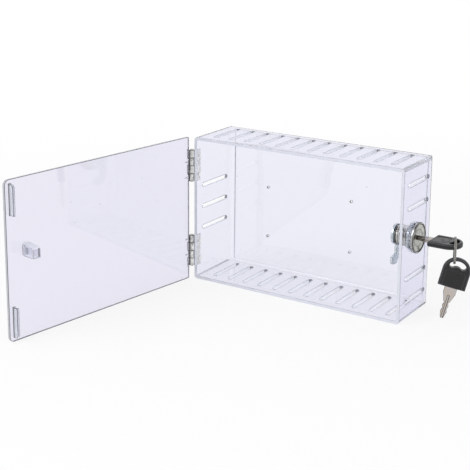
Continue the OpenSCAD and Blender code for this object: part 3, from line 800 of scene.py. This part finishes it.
class GUARDBOX_OT_lock(Operator):
    """Lock: head and body, plug, washer, nut and stop"""

    bl_idname = "guard_box.lock"
    bl_label = "Lock"

    def execute(self, context):
        looks = context.scene.guard_box_metal
        # The second chrome and zinc are darker copies, painted shade on the rounded edges and, for
        # chrome, on the barrel's round sides between the thread.
        chrome = (bright_chrome(), bright_chrome(looks.radius_painted_shade))
        zinc = clear_zinc_plate()
        plates = (zinc, clear_zinc_plate(looks.radius_painted_shade))

        def barrel(point):
            """The point, taken down to the thread's root where it lies on the barrel's round sides."""
            out = Vector((0, point.y - LOCK_MIDDLE.y, point.z - LOCK_MIDDLE.z))
            if abs(out.length - BARREL_RADIUS) > SKIN or abs(out.z) > BARREL_FLAT - SKIN:
                return point
            return point - out * (THREAD_DEPTH / out.length)

        def root(centre, normal):
            """True on the barrel's round sides, which take the darker chrome as painted shade between
            the thread.
            """
            out = math.hypot(centre.y - LOCK_MIDDLE.y, centre.z - LOCK_MIDDLE.z)
            on_barrel = BARREL_FLAT + 4 * SKIN < out < BARREL_RADIUS + 2 * SKIN
            return abs(normal.x) < ALONG and on_barrel

        softened(
            "lock_head_cast",
            "lock_body",
            looks.head_round,
            chrome,
            root,
            lined=True,
            offset="ABSOLUTE",
            fit=barrel,
        )
        rolled_thread("lock_thread_rolled", chrome[0])
        softened("lock_plug_face", "lock_plug", looks.plate_round, chrome, lined=True)
        softened("lock_nut_pressed", "lock_nut", looks.nut_round, plates, lined=True)
        repaint("lock_washer", zinc)
        repaint("stop_washer", zinc)
        return {"FINISHED"}


class GUARDBOX_OT_cam(Operator):
    """Cam: the hooked arm, its spring washer and its screw"""

    bl_idname = "guard_box.cam"
    bl_label = "Cam"

    def execute(self, context):
        looks = context.scene.guard_box_metal
        zinc = clear_zinc_plate()
        # The second zinc is a darker copy, painted shade on the rounded edges.
        plates = (zinc, clear_zinc_plate(looks.radius_painted_shade))
        softened("cam_stamped", "cam", looks.plate_round, plates, lined=True)
        softened("cam_screw_turned", "cam_screw", looks.plate_round, plates, lined=True)
        repaint("cam_spring_washer", zinc)
        return {"FINISHED"}


class GUARDBOX_OT_wafers(Operator):
    """Wafers: the five wafers and their springs inside the plug"""

    bl_idname = "guard_box.wafers"
    bl_label = "Wafers"

    def execute(self, context):
        repaint("lock_wafers", stamped_brass())
        repaint("wafer_springs", bright_spring_wire())
        return {"FINISHED"}


class GUARDBOX_OT_keys(Operator):
    """Keys: blades and black bows of both keys"""

    bl_idname = "guard_box.keys"
    bl_label = "Keys"

    def execute(self, context):
        looks = context.scene.guard_box_keys
        # The second blade metal is darker, painted shade on the cut edges; the second black is paler, a
        # painted highlight on the bows' edges.
        nickel = (nickelled_brass_blade(), nickelled_brass_blade(looks.blade_edge_painted_shade))
        black = (moulded_black_abs(), moulded_black_abs(looks.bow_edge_painted_highlight))
        for key in ("key", "spare_key"):
            blade, bow = f"{key}_blade", f"{key}_bow"
            softened(f"{blade}_milled", blade, looks.blade_round, nickel, lined=True)
            softened(f"{bow}_moulded", bow, looks.bow_round, black, lined=True)
        return {"FINISHED"}


class GUARDBOX_OT_ring(Operator):
    """Ring: the split ring that joins the keys"""

    bl_idname = "guard_box.ring"
    bl_label = "Key ring"

    def execute(self, context):
        softened("split_ring_wire", "key_ring", 0, (bright_spring_wire(),))
        return {"FINISHED"}


# Studio


def turned_to(aim, place):
    """The turn of a thing at place whose front, its -Z side, looks at aim."""
    return (aim - place).to_track_quat("-Z", "Y")


def soft_light(name, place, aim, side, power):
    """A square soft light that looks at aim."""
    lamp = bpy.data.lights.new(name, "AREA")
    lamp.shape = "SQUARE"
    lamp.size = side
    lamp.energy = power
    holder = bpy.data.objects.new(name, lamp)
    holder.location = place
    holder.rotation_mode = "QUATERNION"
    holder.rotation_quaternion = turned_to(aim, Vector(place))
    bpy.context.scene.collection.objects.link(holder)


def sheet(name, matrix, width, height, material):
    """A flat sheet, whose middle and turn are the matrix's."""
    ways = ((-1, -1), (1, -1), (1, 1), (-1, 1))
    corners = [matrix @ Vector((x * width / 2, y * height / 2, 0)) for x, y in ways]
    mesh = bpy.data.meshes.new(name)
    mesh.from_pydata(corners, [], [(0, 1, 2, 3)])
    mesh.materials.append(material)
    flat = bpy.data.objects.new(name, mesh)
    bpy.context.scene.collection.objects.link(flat)
    return flat


class GUARDBOX_OT_studio(Operator):
    """Studio: floor, lights, even sky and camera"""

    bl_idname = "guard_box.studio"
    bl_label = "Studio"

    def execute(self, context):
        looks = context.scene.guard_box_studio
        self.lay_floor(looks)
        self.light_sky(context, looks)
        middle = (CAD_BOX[0] + CAD_BOX[1]) / 2
        soft_light("key light", LARGE_LIGHT_PLACE, middle, LARGE_LIGHT_SIDE, looks.key_power)
        soft_light("fill light", SMALL_LIGHT_PLACE, middle, SMALL_LIGHT_SIDE, looks.fill_power)
        for name, (place, width, height) in FLAGS.items():
            self.hang_flag(name, LOCK_MIDDLE + Vector(place), width, height)
        self.set_camera(context, looks)
        context.scene.view_settings.view_transform = "Standard"
        return {"FINISHED"}

    def hang_flag(self, name, place, width, height):
        """A dark card that only reflections see, as a studio hangs beside bright metal."""
        turn = turned_to(LOCK_MIDDLE, place).to_matrix().to_4x4()
        matrix = Matrix.Translation(place) @ turn
        card = sheet(name, matrix, width, height, black_studio_card())
        for ray in ("camera", "diffuse", "transmission", "volume_scatter", "shadow"):
            setattr(card, f"visible_{ray}", False)

    def lay_floor(self, looks):
        """A pale paper floor just under the box."""
        under = Matrix.Translation((0, 0, CAD_BOX[0].z - FLOOR_GAP))
        paper = white_studio_paper(looks.paper)
        floor = sheet("studio_floor", under, FLOOR_SIDE, FLOOR_SIDE, paper)

    def light_sky(self, context, looks):
        """An even sky, which camera, glossy and transmission rays see as plain white."""
        world = bpy.data.worlds.new("even studio sky")
        world.use_nodes = True
        world.node_tree.nodes.clear()
        rays = add_node(world, "ShaderNodeLightPath")
        seen = rays.outputs["Is Camera Ray"]
        for other in ("Is Glossy Ray", "Is Transmission Ray"):
            either = {0: seen, 1: rays.outputs[other]}
            seen = add_node(world, "ShaderNodeMath", {"operation": "MAXIMUM"}, either).outputs[0]
        lit = levels(seen, looks.sky, 1.0, into=(0.0, 1.0))
        power = add_node(world, "ShaderNodeMapRange", None, lit).outputs[0]
        sky = add_node(world, "ShaderNodeBackground", None, {"Color": WHITE, "Strength": power})
        add_node(world, "ShaderNodeOutputWorld", None, {"Surface": sky.outputs[0]})
        context.scene.world = world

    def set_camera(self, context, looks):
        """The camera at the photograph's angle."""
        sin_yaw, cos_yaw = math.sin(looks.yaw), math.cos(looks.yaw)
        level = math.cos(looks.pitch)
        ahead = Vector((-sin_yaw * level, cos_yaw * level, -math.sin(looks.pitch)))
        right = Vector((cos_yaw, sin_yaw, 0))
        up = right.cross(ahead)
        level_right = right * math.cos(looks.roll) + up * math.sin(looks.roll)
        level_up = up * math.cos(looks.roll) - right * math.sin(looks.roll)
        lens = bpy.data.cameras.new("photo camera")
        lens.sensor_width = 36
        lens.lens = looks.lens
        lens.shift_y = looks.rise
        lens.clip_start, lens.clip_end = 0.01, 20
        camera = bpy.data.objects.new("photo camera", lens)
        turned = Matrix((level_right, level_up, -ahead)).transposed().to_4x4()
        camera.matrix_world = Matrix.Translation(looks.camera_place) @ turned
        context.scene.collection.objects.link(camera)
        context.scene.camera = camera


class GUARDBOX_PT_panel(Panel):
    """Sidebar panel with every size, colour and step"""

    bl_label = "Guard Box"
    bl_idname = "GUARDBOX_PT_panel"
    bl_space_type = "VIEW_3D"
    bl_region_type = "UI"
    bl_category = "Guard Box"

    def draw(self, context):
        for title, (name, group) in GROUPS.items():
            box = self.layout.box()
            box.label(text=title)
            looks = getattr(context.scene, name)
            for setting in group.__annotations__:
                box.prop(looks, setting)
        for step in STEPS:
            self.layout.operator(step.bl_idname)


GROUPS = {
    "Plastic": ("guard_box_plastic", GuardBoxPlastic),
    "Metal": ("guard_box_metal", GuardBoxMetal),
    "Keys": ("guard_box_keys", GuardBoxKeys),
    "Studio": ("guard_box_studio", GuardBoxStudio),
}
STEPS = (
    GUARDBOX_OT_case,
    GUARDBOX_OT_door,
    GUARDBOX_OT_hinges,
    GUARDBOX_OT_lock,
    GUARDBOX_OT_cam,
    GUARDBOX_OT_wafers,
    GUARDBOX_OT_keys,
    GUARDBOX_OT_ring,
    GUARDBOX_OT_studio,
)


def register():
    """Register the settings, the steps and the panel."""
    for name, group in GROUPS.values():
        bpy.utils.register_class(group)
        setattr(bpy.types.Scene, name, PointerProperty(type=group))
    for step in STEPS:
        bpy.utils.register_class(step)
    bpy.utils.register_class(GUARDBOX_PT_panel)


def unregister():
    """Take them all back."""
    bpy.utils.unregister_class(GUARDBOX_PT_panel)
    for step in reversed(STEPS):
        bpy.utils.unregister_class(step)
    for name, group in GROUPS.values():
        delattr(bpy.types.Scene, name)
        bpy.utils.unregister_class(group)


def main():
    """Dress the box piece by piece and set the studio."""
    register()
    for step in STEPS:
        group, name = step.bl_idname.split(".")
        getattr(getattr(bpy.ops, group), name)()


if __name__ == "__main__":
    main()
